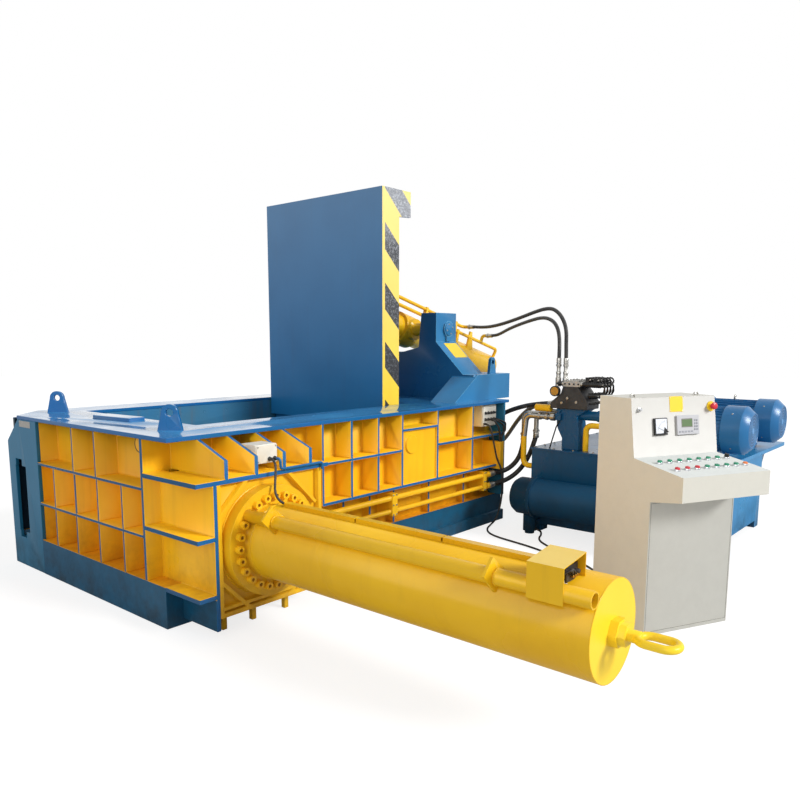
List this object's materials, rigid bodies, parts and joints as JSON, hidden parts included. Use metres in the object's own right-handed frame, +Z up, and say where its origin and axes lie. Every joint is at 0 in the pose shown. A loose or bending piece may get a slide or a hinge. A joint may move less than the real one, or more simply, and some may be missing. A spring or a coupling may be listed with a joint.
{
  "type": "recycling baler",
  "caption": "Hydraulic scrap baler: ribbed press box with swinging lid, main and side rams, sliding discharge gate, power unit and control desk.",
  "frame": {"origin": "centre of the press box's footprint, on the floor", "axes": "+X along the press box from the discharge end to the main cylinder, +Y from the side cylinder to the far wall, +Z up"},
  "size_m": [4.885, 4.75, 2.828],
  "materials": {
    "yellow_paint": "gloss",
    "orange_paint": "satin",
    "blue_paint": "gloss",
    "lid_blue": "satin",
    "unit_blue": "satin",
    "motor_blue": "gloss",
    "liner_blue": "worn",
    "rod_chrome": "polished",
    "steel": "brushed",
    "black_block": "satin",
    "desk_cream": "satin",
    "box_white": "satin",
    "black_plastic": "matte",
    "bezel_chrome": "polished",
    "green_button": "gloss",
    "red_button": "gloss",
    "hose_rubber": "matte"
  },
  "bodies": {
    "frame": {"base_frame": "blue_paint", "near_wall": "yellow_paint", "end_wall": "orange_paint", "end_plates": "blue_paint", "far_wall": "yellow_paint", "chamber_liner": "liner_blue", "hinge_pin": "steel", "rim_plate": "blue_paint", "gate_cylinder": "yellow_paint", "cylinder_frame": "yellow_paint", "side_barrel": "yellow_paint", "flange_bolts": "yellow_paint", "lifting_eye": "yellow_paint", "sensor_track": "yellow_paint", "limit_switch": "black_plastic", "main_barrel": "yellow_paint", "lid_towers": "blue_paint", "side_pipes": "yellow_paint", "junction_boxes": "box_white", "oil_tank": "unit_blue", "manifold": "black_block", "solenoid_valves": "black_block", "unit_pipes": "yellow_paint", "motors": "motor_blue", "pumps": "unit_blue", "console": "desk_cream", "console_instruments": "bezel_chrome", "lid_hose_a": "hose_rubber", "lid_hose_b": "hose_rubber", "press_hose_a": "hose_rubber", "press_hose_b": "hose_rubber", "main_hose_a": "hose_rubber", "main_hose_b": "hose_rubber", "floor_cable": "hose_rubber", "power_cable": "hose_rubber", "duct_cable": "hose_rubber"},
    "lid": {"lid": "lid_blue"},
    "lid_cylinder": {"lid_barrel": "yellow_paint", "lid_pipes": "yellow_paint"},
    "lid_piston": {"lid_rod": "rod_chrome"},
    "side_ram": {"side_ram": "steel"},
    "main_ram": {"main_ram": "steel"},
    "gate": {"discharge_gate": "steel"},
    "button_back_1": {"button_back_1": "green_button"},
    "button_back_2": {"button_back_2": "green_button"},
    "button_back_3": {"button_back_3": "green_button"},
    "button_back_4": {"button_back_4": "green_button"},
    "button_back_5": {"button_back_5": "green_button"},
    "button_back_6": {"button_back_6": "green_button"},
    "button_back_7": {"button_back_7": "green_button"},
    "button_front_1": {"button_front_1": "red_button"},
    "button_front_2": {"button_front_2": "red_button"},
    "button_front_3": {"button_front_3": "red_button"},
    "button_front_4": {"button_front_4": "green_button"},
    "button_front_5": {"button_front_5": "green_button"},
    "button_front_6": {"button_front_6": "green_button"},
    "button_front_7": {"button_front_7": "green_button"},
    "selector": {"selector": "black_plastic"},
    "emergency_stop": {"emergency_stop": "red_button"},
    "key_switch": {"key_switch": "rod_chrome"}
  },
  "joints": [
    {"name": "lid_hinge", "type": "hinge", "parent": "frame", "child": "lid", "pos_m": [0.6525, 0.053, 0.95], "axis": [0, -1, 0], "range_deg": [0, 90]},
    {"name": "lid_cylinder_swing", "type": "hinge", "parent": "frame", "child": "lid_cylinder", "pos_m": [1.5775, 0.053, 1.726], "axis": [0, -1, 0], "range_deg": [0, 30.95]},
    {"name": "lid_rod_slide", "type": "slide", "parent": "lid_cylinder", "child": "lid_piston", "axis": [-0.9683, 0, 0.25], "range_m": [0, 1.2363]},
    {"name": "side_ram_slide", "type": "slide", "parent": "frame", "child": "side_ram", "axis": [0, 1, 0], "range_m": [0, 1.4]},
    {"name": "main_ram_slide", "type": "slide", "parent": "frame", "child": "main_ram", "axis": [-1, 0, 0], "range_m": [0, 1.51]},
    {"name": "gate_slide", "type": "slide", "parent": "frame", "child": "gate", "axis": [-1, 0, 0], "range_m": [0, 0.53]},
    {"name": "button_back_1_press", "type": "slide", "parent": "frame", "child": "button_back_1", "axis": [0.0591, 0.1184, -0.9912], "range_m": [0, 0.005], "stiffness_N_per_m": 400},
    {"name": "button_back_2_press", "type": "slide", "parent": "frame", "child": "button_back_2", "axis": [0.0591, 0.1184, -0.9912], "range_m": [0, 0.005], "stiffness_N_per_m": 400},
    {"name": "button_back_3_press", "type": "slide", "parent": "frame", "child": "button_back_3", "axis": [0.0591, 0.1184, -0.9912], "range_m": [0, 0.005], "stiffness_N_per_m": 400},
    {"name": "button_back_4_press", "type": "slide", "parent": "frame", "child": "button_back_4", "axis": [0.0591, 0.1184, -0.9912], "range_m": [0, 0.005], "stiffness_N_per_m": 400},
    {"name": "button_back_5_press", "type": "slide", "parent": "frame", "child": "button_back_5", "axis": [0.0591, 0.1184, -0.9912], "range_m": [0, 0.005], "stiffness_N_per_m": 400},
    {"name": "button_back_6_press", "type": "slide", "parent": "frame", "child": "button_back_6", "axis": [0.0591, 0.1184, -0.9912], "range_m": [0, 0.005], "stiffness_N_per_m": 400},
    {"name": "button_back_7_press", "type": "slide", "parent": "frame", "child": "button_back_7", "axis": [0.0591, 0.1184, -0.9912], "range_m": [0, 0.005], "stiffness_N_per_m": 400},
    {"name": "button_front_1_press", "type": "slide", "parent": "frame", "child": "button_front_1", "axis": [0.0591, 0.1184, -0.9912], "range_m": [0, 0.005], "stiffness_N_per_m": 400},
    {"name": "button_front_2_press", "type": "slide", "parent": "frame", "child": "button_front_2", "axis": [0.0591, 0.1184, -0.9912], "range_m": [0, 0.005], "stiffness_N_per_m": 400},
    {"name": "button_front_3_press", "type": "slide", "parent": "frame", "child": "button_front_3", "axis": [0.0591, 0.1184, -0.9912], "range_m": [0, 0.005], "stiffness_N_per_m": 400},
    {"name": "button_front_4_press", "type": "slide", "parent": "frame", "child": "button_front_4", "axis": [0.0591, 0.1184, -0.9912], "range_m": [0, 0.005], "stiffness_N_per_m": 400},
    {"name": "button_front_5_press", "type": "slide", "parent": "frame", "child": "button_front_5", "axis": [0.0591, 0.1184, -0.9912], "range_m": [0, 0.005], "stiffness_N_per_m": 400},
    {"name": "button_front_6_press", "type": "slide", "parent": "frame", "child": "button_front_6", "axis": [0.0591, 0.1184, -0.9912], "range_m": [0, 0.005], "stiffness_N_per_m": 400},
    {"name": "button_front_7_press", "type": "slide", "parent": "frame", "child": "button_front_7", "axis": [0.0591, 0.1184, -0.9912], "range_m": [0, 0.005], "stiffness_N_per_m": 400},
    {"name": "selector_turn", "type": "hinge", "parent": "frame", "child": "selector", "pos_m": [0.42268, -3.30444, 0.96342], "axis": [-0.0591, -0.1184, 0.9912], "range_deg": [-45, 45]},
    {"name": "emergency_stop_press", "type": "slide", "parent": "frame", "child": "emergency_stop", "axis": [0.442, 0.8866, -0.1363], "range_m": [0, 0.006]},
    {"name": "key_switch_turn", "type": "hinge", "parent": "frame", "child": "key_switch", "pos_m": [0.04673, -2.9379, 1.24253], "axis": [-0.442, -0.8866, 0.1363], "range_deg": [0, 90]}
  ],
  "couplings": [
    {"joint": "lid_cylinder_swing", "follows": "lid_hinge", "ratio": 0.34362},
    {"joint": "lid_rod_slide", "follows": "lid_hinge", "m_per_rad": 0.78639}
  ]
}
